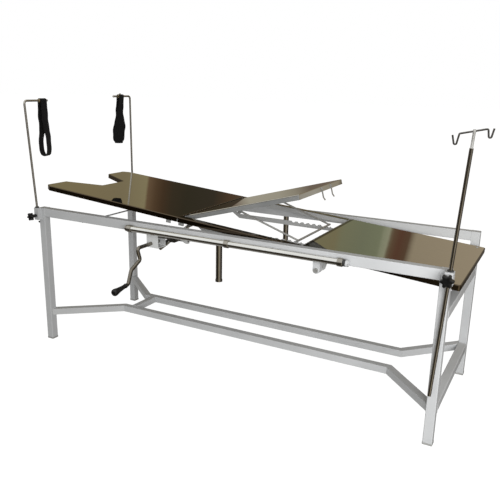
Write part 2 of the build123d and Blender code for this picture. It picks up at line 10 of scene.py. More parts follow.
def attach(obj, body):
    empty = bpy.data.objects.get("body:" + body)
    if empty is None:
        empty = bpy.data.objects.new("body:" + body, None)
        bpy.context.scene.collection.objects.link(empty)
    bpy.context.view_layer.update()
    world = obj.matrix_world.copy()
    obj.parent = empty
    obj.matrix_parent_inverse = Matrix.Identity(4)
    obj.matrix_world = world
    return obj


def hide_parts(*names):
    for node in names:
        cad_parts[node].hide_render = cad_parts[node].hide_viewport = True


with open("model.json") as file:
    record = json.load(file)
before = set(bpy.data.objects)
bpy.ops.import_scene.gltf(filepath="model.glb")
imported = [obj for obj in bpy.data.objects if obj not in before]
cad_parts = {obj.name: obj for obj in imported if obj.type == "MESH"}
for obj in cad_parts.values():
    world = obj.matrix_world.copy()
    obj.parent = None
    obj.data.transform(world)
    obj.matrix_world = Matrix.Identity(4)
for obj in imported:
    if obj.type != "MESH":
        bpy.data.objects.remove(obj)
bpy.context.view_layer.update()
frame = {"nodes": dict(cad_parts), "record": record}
NODES = frame["nodes"]

FLOOR = 45.0
SX, SY = 16.382, -85.488          # the origin's shift, as in the construction


def N(x, y, z):
    """Millimetres over the middle of the four legs, as metres in the frame."""
    return Vector(((x - SX) / 1000.0, (y - SY) / 1000.0, (z - FLOOR) / 1000.0))


TILT = math.radians(4.8)
TOP = Matrix.Translation(N(0, 0, 733)) @ Matrix.Rotation(TILT, 4, "Y")
FLAP = (TOP @ Matrix.Translation((-0.172, 0, -0.012)) @ Matrix.Rotation(math.radians(-20.3), 4, "Y")
        @ Matrix.Translation((0.172, 0, 0.012)))

# ---------------------------------------------------------------- camera
yaw, pitch, roll, focal = 0.487, -0.267, 0.022, 605.655
fwd = Vector((-math.sin(yaw) * math.cos(pitch), math.cos(yaw) * math.cos(pitch), math.sin(pitch)))
right = Vector((math.cos(yaw), math.sin(yaw), 0.0))
up = right.cross(fwd)
r2 = right * math.cos(roll) + up * math.sin(roll)
u2 = -right * math.sin(roll) + up * math.cos(roll)
cam_data = bpy.data.cameras.new("photo_camera")
cam_data.sensor_width = 36.0
cam_data.lens = focal / 500.0 * 36.0
cam_data.clip_start = 0.05
cam_data.clip_end = 60.0
cam = bpy.data.objects.new("photo_camera", cam_data)
bpy.context.scene.collection.objects.link(cam)
cm = Matrix((r2, u2, -fwd)).transposed().to_4x4()
cm.translation = N(1259, -2360, 1295)
cam.matrix_world = cm
bpy.context.scene.camera = cam


# ---------------------------------------------------------------- materials
def new_mat(name):
    m = bpy.data.materials.new(name)
    m.use_nodes = True
    nt = m.node_tree
    nt.nodes.clear()
    out = nt.nodes.new("ShaderNodeOutputMaterial")
    b = nt.nodes.new("ShaderNodeBsdfPrincipled")
    nt.links.new(b.outputs[0], out.inputs[0])
    return m, nt, b


def coords(nt, scale=(1, 1, 1)):
    tc = nt.nodes.new("ShaderNodeTexCoord")
    mp = nt.nodes.new("ShaderNodeMapping")
    mp.inputs["Scale"].default_value = scale
    nt.links.new(tc.outputs["Object"], mp.inputs[0])
    return mp.outputs[0]


def noise(nt, vec, scale, detail=3.0, rough=0.5):
    n = nt.nodes.new("ShaderNodeTexNoise")
    n.inputs["Scale"].default_value = scale
    n.inputs["Detail"].default_value = detail
    n.inputs["Roughness"].default_value = rough
    nt.links.new(vec, n.inputs["Vector"])
    return n.outputs["Fac"]


def ramp(nt, fac, stops, interp="LINEAR"):
    r = nt.nodes.new("ShaderNodeValToRGB")
    r.color_ramp.interpolation = interp
    el = r.color_ramp.elements
    while len(el) < len(stops):
        el.new(0.5)
    for e, (p, c) in zip(el, stops):
        e.position = p
        e.color = (c[0], c[1], c[2], 1.0)
    nt.links.new(fac, r.inputs[0])
    return r.outputs[0]


def framp(nt, fac, a, b, lo=0.0, hi=1.0):
    m = nt.nodes.new("ShaderNodeMapRange")
    m.inputs["From Min"].default_value = lo
    m.inputs["From Max"].default_value = hi
    m.inputs["To Min"].default_value = a
    m.inputs["To Max"].default_value = b
    nt.links.new(fac, m.inputs["Value"])
    return m.outputs[0]


def bump(nt, b, height, strength, dist=0.001):
    n = nt.nodes.new("ShaderNodeBump")
    n.inputs["Strength"].default_value = strength
    n.inputs["Distance"].default_value = dist
    nt.links.new(height, n.inputs["Height"])
    nt.links.new(n.outputs[0], b.inputs["Normal"])


def paint(name, lo, hi, rough=(0.32, 0.46)):
    m, nt, b = new_mat(name)
    v = coords(nt)
    n1 = noise(nt, v, 9.0, 4.0)
    col = ramp(nt, n1, [(0.25, lo), (0.75, hi)])
    nt.links.new(col, b.inputs["Base Color"])
    nt.links.new(framp(nt, noise(nt, v, 35.0), rough[0], rough[1]), b.inputs["Roughness"])
    b.inputs["Coat Weight"].default_value = 0.15
    b.inputs["Coat Roughness"].default_value = 0.2
    bump(nt, b, noise(nt, v, 900.0, 2.0), 0.12, 0.0004)
    return m


def steel(name, lo, hi, rough=(0.12, 0.22), stretch=(1, 1, 1), grain=700.0, bump_s=0.05):
    m, nt, b = new_mat(name)
    v = coords(nt, stretch)
    nt.links.new(ramp(nt, noise(nt, v, 14.0, 4.0), [(0.3, lo), (0.7, hi)]), b.inputs["Base Color"])
    b.inputs["Metallic"].default_value = 1.0
    nt.links.new(framp(nt, noise(nt, v, grain, 3.0), rough[0], rough[1]), b.inputs["Roughness"])
    bump(nt, b, noise(nt, v, grain * 1.5, 2.0), bump_s, 0.0002)
    return m


def plastic(name, lo, hi, rough=(0.28, 0.42), scale=500.0, strength=0.15):
    m, nt, b = new_mat(name)
    v = coords(nt)
    nt.links.new(ramp(nt, noise(nt, v, 30.0), [(0.3, lo), (0.7, hi)]), b.inputs["Base Color"])
    nt.links.new(framp(nt, noise(nt, v, 60.0), rough[0], rough[1]), b.inputs["Roughness"])
    bump(nt, b, noise(nt, v, scale, 2.0), strength, 0.0003)
    return m


def weave(name, lo, hi):
    """Woven band: ribs across, a faint stripe along, matt with a soft sheen."""
    m, nt, b = new_mat(name)
    tc = nt.nodes.new("ShaderNodeTexCoord")
    hs = []
    for direction, scale in (("Z", 190.0), ("Y", 260.0), ("X", 260.0)):
        w = nt.nodes.new("ShaderNodeTexWave")
        w.bands_direction = direction
        w.inputs["Scale"].default_value = scale
        w.inputs["Distortion"].default_value = 1.2
        w.inputs["Detail"].default_value = 1.0
        nt.links.new(tc.outputs["Object"], w.inputs["Vector"])
        hs.append(w.outputs["Fac"])
    a = nt.nodes.new("ShaderNodeMath")
    a.operation = "ADD"
    nt.links.new(hs[1], a.inputs[0])
    nt.links.new(hs[2], a.inputs[1])
    h = nt.nodes.new("ShaderNodeMath")
    h.operation = "MULTIPLY_ADD"
    nt.links.new(hs[0], h.inputs[0])
    h.inputs[1].default_value = 1.0
    nt.links.new(a.outputs[0], h.inputs[2])
    half = nt.nodes.new("ShaderNodeMath")
    half.operation = "MULTIPLY"
    half.inputs[1].default_value = 0.333
    nt.links.new(h.outputs[0], half.inputs[0])
    nt.links.new(ramp(nt, half.outputs[0], [(0.25, lo), (0.8, hi)]), b.inputs["Base Color"])
    b.inputs["Roughness"].default_value = 0.85
    b.inputs["Sheen Weight"].default_value = 0.05
    b.inputs["Specular IOR Level"].default_value = 0.25
    b.inputs["Sheen Roughness"].default_value = 0.5
    bump(nt, b, half.outputs[0], 0.6, 0.0007)
    return m


def mirror(name, lo, hi, rough=(0.008, 0.03), edge=(0.11, 0.085, 0.058), lim=(0.95, 0.985), dark_to=None):
    """Polished sheet: long faint polishing lines along the sheet, slight waviness, a few smudges, and a painted dark
    reflection on the folded edges. dark_to: x below which the whole sheet, top included, takes that painted dark
    reflection.
    """
    m, nt, b = new_mat(name)
    fine = coords(nt, (1.5, 60, 60))
    face = ramp(nt, noise(nt, fine, 6.0, 5.0), [(0.3, lo), (0.7, hi)])
    # the folded edges get a darker, browner colour than the top: painted reflection of the dark surroundings in the
    # folds
    tc = nt.nodes.new("ShaderNodeTexCoord")
    sep = nt.nodes.new("ShaderNodeSeparateXYZ")
    nt.links.new(tc.outputs["Normal"], sep.inputs[0])
    up = nt.nodes.new("ShaderNodeMapRange")
    up.interpolation_type = "SMOOTHSTEP"
    up.inputs["From Min"].default_value = lim[0]
    up.inputs["From Max"].default_value = lim[1]
    nt.links.new(sep.outputs[2], up.inputs["Value"])
    mix = nt.nodes.new("ShaderNodeMix")
    mix.data_type = "RGBA"
    ca = [k for k in mix.inputs if k.name == "A" and k.type == "RGBA"][0]
    cb = [k for k in mix.inputs if k.name == "B" and k.type == "RGBA"][0]
    ca.default_value = (*edge, 1)
    fac = up.outputs[0]
    # below x = dark_to the whole sheet, top included, takes the painted dark reflection colour
    if dark_to is not None:
        pos = nt.nodes.new("ShaderNodeSeparateXYZ")
        nt.links.new(tc.outputs["Object"], pos.inputs[0])
        inner = nt.nodes.new("ShaderNodeMapRange")
        inner.interpolation_type = "SMOOTHSTEP"
        inner.inputs["From Min"].default_value = dark_to - 0.0015
        inner.inputs["From Max"].default_value = dark_to + 0.0015
        nt.links.new(pos.outputs[0], inner.inputs["Value"])
        both = nt.nodes.new("ShaderNodeMath")
        both.operation = "MULTIPLY"
        nt.links.new(fac, both.inputs[0])
        nt.links.new(inner.outputs[0], both.inputs[1])
        fac = both.outputs[0]
    nt.links.new(fac, mix.inputs["Factor"])
    nt.links.new(face, cb)
    nt.links.new([k for k in mix.outputs if k.type == "RGBA"][0], b.inputs["Base Color"])
    b.inputs["Metallic"].default_value = 1.0
    wide = coords(nt)
    nt.links.new(framp(nt, noise(nt, wide, 7.0, 5.0, 0.6), rough[0], rough[1], 0.3, 0.7), b.inputs["Roughness"])
    b1 = nt.nodes.new("ShaderNodeBump")
    b1.inputs["Strength"].default_value = 0.30
    b1.inputs["Distance"].default_value = 0.0008
    nt.links.new(noise(nt, wide, 4.5, 2.0), b1.inputs["Height"])
    b2 = nt.nodes.new("ShaderNodeBump")
    b2.inputs["Strength"].default_value = 0.02
    b2.inputs["Distance"].default_value = 0.00003
    nt.links.new(noise(nt, fine, 20.0, 2.0), b2.inputs["Height"])
    nt.links.new(b1.outputs[0], b2.inputs["Normal"])
    nt.links.new(b2.outputs[0], b.inputs["Normal"])
    return m


def zinc(name, lo, hi):
    """Dull zinc plating: part metal, part grey film, faintly mottled."""
    m, nt, b = new_mat(name)
    c = coords(nt)
    nt.links.new(ramp(nt, noise(nt, c, 90.0, 4.0, 0.6), [(0.3, lo), (0.7, hi)]), b.inputs["Base Color"])
    b.inputs["Metallic"].default_value = 0.55
    nt.links.new(framp(nt, noise(nt, c, 30.0, 3.0), 0.32, 0.48, 0.3, 0.7), b.inputs["Roughness"])
    bump(nt, b, noise(nt, c, 900.0, 2.0), 0.08, 0.0001)
    return m


MAT = {
    "frame_paint": paint("frame_paint", (0.56, 0.57, 0.58), (0.62, 0.63, 0.64)),
    "under_paint": paint("under_paint", (0.46, 0.465, 0.465), (0.52, 0.525, 0.52)),
    # polished sheet: a steel colour whose warm khaki tint is painted reflection of the warm room; the head and backrest
    # sheets share it
    "mirror_sheet": mirror("mirror_sheet", (0.60, 0.585, 0.53), (0.655, 0.64, 0.585)),
    "stainless_tube": steel("stainless_tube", (0.70, 0.70, 0.68), (0.78, 0.78, 0.76), (0.10, 0.18), (0.4, 1, 1)),
    "plated_steel": zinc("plated_steel", (0.42, 0.42, 0.405), (0.54, 0.535, 0.515)),
    "dark_steel": steel("dark_steel", (0.16, 0.155, 0.15), (0.22, 0.215, 0.205), (0.28, 0.42)),
    "dark_tube": steel("dark_tube", (0.24, 0.22, 0.195), (0.32, 0.295, 0.26), (0.14, 0.24)),
    "brass": steel("brass", (0.52, 0.42, 0.24), (0.62, 0.52, 0.32), (0.25, 0.4)),
    "black_plastic": plastic("black_plastic", (0.002, 0.002, 0.0022), (0.004, 0.004, 0.0045)),
    "grey_plastic": plastic("grey_plastic", (0.36, 0.36, 0.35), (0.43, 0.43, 0.42), (0.45, 0.6)),
    "bearing_plastic": plastic("bearing_plastic", (0.03, 0.03, 0.03), (0.045, 0.045, 0.045), (0.4, 0.55)),
    "webbing": weave("webbing", (0.0025, 0.0025, 0.003), (0.009, 0.009, 0.010)),
}
# the backrest sheet's folds take a lighter painted reflection colour, over a wider band of slope
MAT_FLAP = mirror("mirror_sheet_flap", (0.60, 0.585, 0.53), (0.655, 0.64, 0.585), edge=(0.52, 0.50, 0.45), lim=(0.88, 0.95))
MAT_ROD = steel("stirrup_rod_steel", (0.40, 0.385, 0.35), (0.50, 0.48, 0.44), (0.20, 0.32))
MAT_CRANK = steel("crank_steel", (0.19, 0.172, 0.145), (0.27, 0.25, 0.215), (0.20, 0.32))
# the edge strips get a dark brown steel colour and darker folds: painted dark reflection of the surroundings
MAT_STRIP = mirror("mirror_sheet_strips_dark_reflection", (0.21, 0.18, 0.14), (0.26, 0.23, 0.185), edge=(0.09, 0.07, 0.05))
MAT_FLAP_FRAME = paint("backrest_frame_paint", (0.205, 0.21, 0.21), (0.26, 0.265, 0.26))
MAT_CLIP = steel("tube_clip_steel", (0.33, 0.315, 0.28), (0.42, 0.40, 0.36), (0.22, 0.34))
# a lighter copy of the frame paint for the crank housing and screw hanger: painted light that makes up for the shade
# under the rail
MAT_HOUSING = paint("housing_paint_painted_light", (0.76, 0.77, 0.77), (0.82, 0.83, 0.83))
VARIANT = {"side_tube_clips": MAT_CLIP, "crank_housing": MAT_HOUSING, "screw_hanger": MAT_HOUSING, "backrest_frame": MAT_FLAP_FRAME, "stirrup_rod_near": MAT_ROD, "stirrup_rod_far": MAT_ROD, "crank_arm": MAT_CRANK}
SLOT = {s["node"]: s["material_slot"] for s in frame["record"]["subparts"]}
for name, obj in NODES.items():
    obj.data.materials.clear()
    obj.data.materials.append(VARIANT.get(name, MAT[SLOT[name]]))

# ---------------------------------------------------------------- mesh helpers
def mesh_obj(name, verts, faces, slot, sharp=35.0, mat=None):
    me = bpy.data.meshes.new(name)
    me.from_pydata([tuple(v) for v in verts], [], faces)
    me.update()
    bm = bmesh.new()
    bm.from_mesh(me)
    bmesh.ops.recalc_face_normals(bm, faces=bm.faces)
    bm.to_mesh(me)
    bm.free()
    me.materials.append(mat or MAT[slot])
    me.shade_smooth()
    me.set_sharp_from_angle(angle=math.radians(sharp))
    ob = bpy.data.objects.new(name, me)
    bpy.context.scene.collection.objects.link(ob)
    return ob


def put(ob, body, *nodes):
    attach(ob, body)
    if nodes:
        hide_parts(*nodes)
    return ob


class Build:
    """Collects verts and faces of several closed shells."""

    def __init__(self):
        self.v, self.f = [], []

    def rings(self, rings, close=True, caps=True):
        base, n = len(self.v), len(rings[0])
        for r in rings:
            self.v += r
        for i in range(len(rings) - 1):
            for j in range(n if close else n - 1):
                a, b = base + i * n + j, base + i * n + (j + 1) % n
                self.f.append((a, b, b + n, a + n))
        if caps:
            self.f.append(tuple(base + j for j in range(n))[::-1])
            self.f.append(tuple(base + (len(rings) - 1) * n + j for j in range(n)))

    def loop(self, rings):
        """Rings joined into a closed torus."""
        base, n, m = len(self.v), len(rings[0]), len(rings)
        for r in rings:
            self.v += r
        for i in range(m):
            for j in range(n):
                a, b = base + i * n + j, base + i * n + (j + 1) % n
                c, d = base + ((i + 1) % m) * n + (j + 1) % n, base + ((i + 1) % m) * n + j
                self.f.append((a, b, c, d))


def frame_of(axis):
    axis = Vector(axis).normalized()
    h = Vector((0, 0, 1)) if abs(axis.z) < 0.9 else Vector((1, 0, 0))
    a = h.cross(axis).normalized()
    return a, axis.cross(a).normalized(), axis


def lathe(bd, profile, origin, axis, seg=32):
    """Closed shell from (radius, height) pairs in mm; ends on the axis or capped flat."""
    a, b, n = frame_of(axis)
    rings = []
    for r, h in profile:
        r = max(r, 0.02)
        rings.append([origin + n * (h / 1000) + (a * math.cos(2 * math.pi * j / seg) + b * math.sin(2 * math.pi * j / seg)) * (r / 1000) for j in range(seg)])
    bd.rings(rings)


def star(bd, origin, axis, r0, amp, lobes, layers, seg=96, turn=0.0):
    a, b, n = frame_of(axis)
    rings = []
    for s, h in layers:
        ring = []
        for j in range(seg):
            t = 2 * math.pi * j / seg
            w = math.cos(lobes * t)
            w = math.copysign(abs(w) ** 0.8, w)
            rad = (r0 + amp * w) * s if s > 0.5 else r0 * s
            ring.append(origin + n * (h / 1000) + (a * math.cos(t + turn) + b * math.sin(t + turn)) * (max(rad, 0.02) / 1000))
        rings.append(ring)
    bd.rings(rings)


def pipe(bd, pts, r, seg=16, closed=False, radii=None, flat=None):
    """Round bar through points in metres, r in mm."""
    n = len(pts)
    rings, up0 = [], None
    for i, p in enumerate(pts):
        q0 = pts[i - 1] if (i > 0 or closed) else p
        q1 = pts[(i + 1) % n] if (i < n - 1 or closed) else p
        t = (q1 - q0).normalized()
        if up0 is None:
            up0 = frame_of(t)[0]
        up0 = (up0 - t * up0.dot(t)).normalized()
        side = t.cross(up0)
        rr = (radii[i] if radii else r) / 1000
        rings.append([p + (up0 * math.cos(2 * math.pi * j / seg) + side * math.sin(2 * math.pi * j / seg)) * rr for j in range(seg)])
    if closed:
        bd.loop(rings)
    else:
        bd.rings(rings)


def arc_path(pts, radii, seg=8):
    """Polyline with rounded corners; pts are Vectors in metres, radii in mm."""
    out = [pts[0]]
    for i in range(1, len(pts) - 1):
        a, p, b = pts[i - 1], pts[i], pts[i + 1]
        d1, d2 = (a - p).normalized(), (b - p).normalized()
        ang = d1.angle(d2)
        rr = (radii if isinstance(radii, (int, float)) else radii[i - 1]) / 1000
        t = rr / math.tan(ang / 2)
        bis = (d1 + d2).normalized()
        c = p + bis * (rr / math.sin(ang / 2))
        s, e = p + d1 * t - c, p + d2 * t - c
        tot = s.angle(e)
        for k in range(seg + 1):
            w = k / seg
            v = (s * math.sin((1 - w) * tot) + e * math.sin(w * tot)) / math.sin(tot)
            out.append(c + v)
    out.append(pts[-1])
    return out


# ---------------------------------------------------------------- polished sheets
def rounded(outline, R, seg=5):
    out, n = [], len(outline)
    for i in range(n):
        p, a, b = Vector(outline[i]), Vector(outline[i - 1]), Vector(outline[(i + 1) % n])
        d1, d2 = (p - a).normalized(), (b - p).normalized()
        n1 = Vector((d1.y, -d1.x))
        cross = d1.x * d2.y - d1.y * d2.x
        ang = math.atan2(cross, d1.dot(d2))
        if abs(ang) < 1e-3:
            out.append((p, n1))
            continue
        t = R * math.tan(abs(ang) / 2)
        c = p - d1 * t + (-n1 if cross > 0 else n1) * R
        for k in range(seg + 1):
            th = ang * k / seg
            nn = Vector((n1.x * math.cos(th) - n1.y * math.sin(th), n1.x * math.sin(th) + n1.y * math.cos(th)))
            out.append((c + (nn if cross > 0 else -nn) * R, nn))
    return out


HEM = [(9.0, 0.0), (8.0, -0.12), (6.5, -0.5), (5.0, -1.1), (3.6, -1.9), (2.3, -2.9), (1.1, -4.2), (0.3, -6.0), (0.0, -8.0)]


def tray(name, outline, xf, depth, r=4.0, t=1.2, R=6.0, seg=8, hem=None, mat=None):
    """Folded sheet: flat top, rolled edge of radius r (or the flat hem where hem(p, n) is 1), skirt to depth(p, n), thickness t."""
    pts = rounded(outline, R)
    bd = Build()
    rings = []

    def ring(off, k):
        o = off if callable(off) else (lambda p, q: off)
        rings.append([xf @ (Vector((p.x - q.x * o(p, q), p.y - q.y * o(p, q), max(k, -depth(p, q)) if not callable(k) else k(p, q))) / 1000) for p, q in pts])

    h = hem or (lambda p, q: 0.0)

    def mixed(p, q, j, c, side):
        w = h(p, q)
        return HEM[j][side] * w + c * (1 - w)

    ring(lambda p, q: mixed(p, q, 0, r, 0) + 0.9, 0)
    for j in range(seg + 1):
        a = math.pi / 2 * j / seg
        ring(lambda p, q, j=j, a=a: mixed(p, q, j, r * (1 - math.sin(a)), 0), lambda p, q, j=j, a=a: mixed(p, q, j, -r * (1 - math.cos(a)), 1))
    low = lambda p, q: mixed(p, q, 8, 0.0, 0)
    ring(low, lambda p, q: mixed(p, q, 8, -r, 1) - 0.9)
    ring(low, lambda p, q: -depth(p, q) + 0.5)
    ring(lambda p, q: low(p, q) + 0.35, lambda p, q: -depth(p, q))
    ring(lambda p, q: low(p, q) + t - 0.2, lambda p, q: -depth(p, q))
    ring(lambda p, q: low(p, q) + t, lambda p, q: -depth(p, q) + 0.5)
    ring(lambda p, q: low(p, q) + t, lambda p, q: mixed(p, q, 8, -r, 1) - 0.9)
    for j in range(8, -1, -2):
        a = math.pi / 2 * j / 8
        ring(lambda p, q, j=j, a=a: t + mixed(p, q, j, (r - t) * (1 - math.sin(a)), 0), lambda p, q, j=j, a=a: mixed(p, q, j, -(r - t) * (1 - math.cos(a)), 1) - t * (1 - j / 8) ** 0.5)
    ring(lambda p, q: t + mixed(p, q, 0, r - t, 0) + 0.9, -t)
    bd.rings(rings)
    return mesh_obj(name, bd.v, bd.f, "mirror_sheet", 30, mat)


HW = 295.0
FULL = lambda p, q: 22.0
seat_out = [(-184.6, -HW), (-184.6, HW), (-922, HW), (-952, HW - 20), (-952, 156), (-785, 80), (-785, -80), (-952, -156), (-952, -HW + 20), (-922, -HW)]
put(tray("seat_sheet", seat_out, TOP, lambda p, q: 7.0 if q.x > 0.5 and p.x > -300 else 22.0, r=3.2,
         ), "tilt_top", "seat_panel")
head_out = [(377, -HW), (983, -HW), (983, HW), (377, HW)]
# the head sheet's left strip, up to x at s = 397, is painted dark: a painted reflection along its left edge
MAT_HEAD = mirror("mirror_sheet_head", (0.60, 0.585, 0.53), (0.655, 0.64, 0.585), dark_to=(TOP @ Vector((0.397, 0, 0))).x)
put(tray("head_sheet", head_out, TOP, FULL, r=4.0, R=9.0, hem=lambda p, q: max(0.0, -q.x) ** 2, mat=MAT_HEAD), "tilt_top", "head_panel")
flap_out = [(-160, -240.6), (366, -240.6), (366, 240.6), (-160, 240.6)]
put(tray("backrest_sheet", flap_out, FLAP, lambda p, q: 21.9 if q.x > 0.7 else 4.2, r=3.0, R=5.0, mat=MAT_FLAP), "backrest", "backrest_panel")

# the edge strips beside the backrest opening
bd = Build()
for sg in (-1, 1):
    prof = [(265, 0), (290.4, 0)]
    prof += [(291 + 4 * math.sin(math.pi / 2 * j / 6), -4 + 4 * math.cos(math.pi / 2 * j / 6)) for j in range(7)]
    prof += [(295, -4.6), (295, -22), (293.8, -22), (293.8, -4.6), (291, -1.2), (265, -1.2)]
    rings = [[TOP @ (Vector((s, sg * y, k)) / 1000) for y, k in prof] for s in (-184.2, -183, 376, 376.8)]
    bd.rings(rings)
put(mesh_obj("edge_strip_sheets", bd.v, bd.f, "mirror_sheet", 30, MAT_STRIP), "tilt_top", "edge_strips")

# screws with a socket head in the head panel's corners
bd = Build()
for sg in (-1, 1):
    lathe(bd, [(6.4, 0.1), (6.4, 0.5), (6.0, 0.9), (5.2, 1.6), (4.0, 2.0), (2.6, 2.05), (2.3, 1.1), (0, 1.0)], TOP @ (Vector((952, sg * 268, 0)) / 1000), TOP.to_3x3() @ Vector((0, 0, 1)), 24)
put(mesh_obj("panel_screws", bd.v, bd.f, "plated_steel"), "tilt_top", "panel_bolts")

# ---------------------------------------------------------------- knobs
def knob(name, x, y0, z, sg, r0, amp, depth, hub, body, node, stem_from, turn):
    o, ax = N(x, y0, z), Vector((0, sg, 0))
    d = depth
    layers = [(0.80, 0.0), (0.93, 0.5), (0.99, 1.8), (1.0, 3.5), (1.0, d - 4.2), (0.985, d - 2.6), (0.93, d - 1.1), (0.82, d - 0.25), (0.60, d), (0.49, d), (0.46, d - 0.9), (0.10, d - 0.9), (0.0, d - 0.9)]
    bd = Build()
    star(bd, o, ax, r0, amp, 6, layers, turn=turn)
    lathe(bd, [(hub, 0.6), (hub, -hub_len(name) + 2.0), (hub - 0.8, -hub_len(name) + 0.6), (hub - 2.5, -hub_len(name)), (4.0, -hub_len(name))], o, ax, 32)
    k = put(mesh_obj(name, bd.v, bd.f, "black_plastic", 40), body, node)
    bd = Build()
    end = abs(N(x, stem_from, z).y - o.y) * 1000
    prof = [(4.0, -hub_len(name) + 1)]
    h = -hub_len(name) + 0.5
    while h > -end + 3.0:
        prof += [(4.0, h), (3.45, h - 0.55)]
        h -= 1.1
    prof += [(3.9, -end + 2.5), (3.2, -end), (0, -end)]
    lathe(bd, prof, o, ax, 20)
    put(mesh_obj(name + "_stem", bd.v, bd.f, "plated_steel"), body)
    return k


def hub_len(name):
    return 10.5 if name.startswith("iv") else 25.0


knob("stirrup_lobed_knob_near", -945, -388.6, 676, -1, 15.4, 3.7, 14.8, 8.0, "knob_near", "stirrup_knob_near", -360.5, 0.2)
knob("stirrup_lobed_knob_far", -945, 388.6, 676, 1, 15.4, 3.7, 14.8, 8.0, "knob_far", "stirrup_knob_far", 360.5, 0.5)
knob("iv_lobed_knob", 948, -384.1, 688, -1, 20.3, 3.6, 19.8, 10.0, "iv_knob", "iv_knob", -366.6, 0.1)

# crank grip: turned handle with a swelling end and a rivet head
g0 = N(-308, -492, 478.3)
gd = Vector((0, -0.9917, -0.1288)).normalized()
bd = Build()
lathe(bd, [(4.3, 1.6), (8.6, 1.6), (9.6, 2.2), (10.0, 3.6), (10.0, 6.5), (9.2, 7.6), (8.6, 9.0), (8.6, 12), (9.0, 20), (9.6, 30), (10.4, 40), (11.6, 50), (13.2, 59), (14.6, 66), (15.1, 71),
           (14.7, 76), (13.0, 79.6), (10.0, 81.9), (6.5, 82.8), (5.6, 82.4), (5.4, 81.4), (0, 81.4)], g0, gd, 40)
put(mesh_obj("crank_handle", bd.v, bd.f, "black_plastic", 40), "crank_grip", "crank_grip")

# ---------------------------------------------------------------- slings
def sling(side, ax_x, cy, az, path, widths, twist, lean=(0.0, 0.0)):
    """Closed band of webbing, hanging in a plane across the arm."""
    th = 1.1
    m = len(path)
    top = max(z for x, z in path)
    low = min(z for x, z in path)
    bd, rings, length, area, prev = Build(), [], 0.0, 0.0, None
    for i in range(m):
        x, z = path[i]
        a, b = path[i - 1], path[(i + 1) % m]
        t = Vector((b[0] - a[0], 0, b[1] - a[1])).normalized()
        nrm = Vector((t.z, 0, -t.x))
        f = (top - z) / (top - low)
        w = widths(f)
        tw = twist(f)
        ring = []
        for e, o in ((-0.5, -th * 0.45), (-0.47, -th), (-0.2, -th * 0.9), (0.2, -th * 0.9), (0.47, -th), (0.5, -th * 0.45), (0.5, th * 0.45), (0.47, th), (0.2, th * 0.9), (-0.2, th * 0.9), (-0.47, th), (-0.5, th * 0.45)):
            cup = 0.0 if f < 0.1 else 1.3 * (1 - (2 * e) ** 2) * math.sin(f * 9 + (0 if x > 0 else 2))
            px, py, pz = x + nrm.x * (o + cup), e * w, z + nrm.z * (o + cup)
            py += (2.2 * math.sin(f * 12 + (0.5 if x > 0 else 1.7)) + 0.8 * math.sin(f * 31 + (0 if x > 0 else 1))) * min(1, f * 3)
            c, s = math.cos(tw), math.sin(tw)
            ring.append(N(ax_x + px * c - py * s + lean[0] * f, cy + px * s + py * c + lean[1] * f, az + pz))
        rings.append(ring)
    bd.loop(rings)
    ob = mesh_obj(f"sling_band_{side}", bd.v, bd.f, "webbing", 50)
    put(ob, f"sling_{side}", f"sling_{side}")
    length = sum((Vector(path[i]) - Vector(path[i - 1])).length for i in range(m)) / 1000
    area = sum((Vector(path[i]) - Vector(path[i - 1])).length * (widths((top - path[i][1]) / (top - low))) for i in range(m)) / 1e6
    print("sling", side, "length", round(length, 4), "area", round(area, 5))
    return ob


def teardrop(drop, xs):
    """Closed path: over the clip, then down both legs. xs are (depth, half gap)."""
    R = 9.35
    right = [(R * math.sin(a), R * math.cos(a)) for a in [math.pi / 2 * k / 8 for k in range(9)]]
    pts = [(x, -d) for d, x in xs]
    # smooth the leg with a spline through the given points
    leg, P = [], [right[-1]] + pts + [(0.0, -drop)]
    for i in range(len(P) - 1):
        p0, p1, p2, p3 = P[max(i - 1, 0)], P[i], P[i + 1], (P[i + 2] if i + 2 < len(P) else (-P[i][0], P[i][1]))
        if i == 0:
            p0 = (p1[0], p1[1] + 10)
        for k in range(1, 7):
            t = k / 6
            q = [0.5 * (2 * p1[c] + (p2[c] - p0[c]) * t + (2 * p0[c] - 5 * p1[c] + 4 * p2[c] - p3[c]) * t * t + (3 * p1[c] - p0[c] - 3 * p2[c] + p3[c]) * t ** 3) for c in (0, 1)]
            leg.append((max(q[0], 0.0), q[1]))
    half = right + leg
    left = [(-x, z) for x, z in half[1:-1]][::-1]
    return half + left


NEAR_AX, NEAR_AZ = -981.169, 1201.237
def step(f, a, b):
    t = min(1.0, max(0.0, (f - a) / (b - a)))
    return t * t * (3 - 2 * t)


near_path = teardrop(257.0, [(30, 9.5), (70, 12.0), (105, 12.5), (140, 14.5), (165, 17.5), (195, 20.0), (226, 20.5), (246, 16.5), (254, 10.0)])
far_path = teardrop(248.0, [(30, 8.0), (70, 8.0), (110, 8.5), (145, 10.0), (180, 11.5), (210, 11.5), (232, 9.5), (243, 6.0)])
sling("near", NEAR_AX, -245, NEAR_AZ, near_path, lambda f: 40.0, lambda f: 0.06 + 0.19 * step(f, 0.35, 0.8), lean=(3.0, 0.0))
sling("far", -945, 272, 1218, far_path, lambda f: 38 + 22 * step(f, 0.36, 0.68) - 20 * step(f, 0.90, 1.0) ** 1.6, lambda f: -0.75 * step(f, 0.1, 0.6), lean=(-14.0, -9.0))

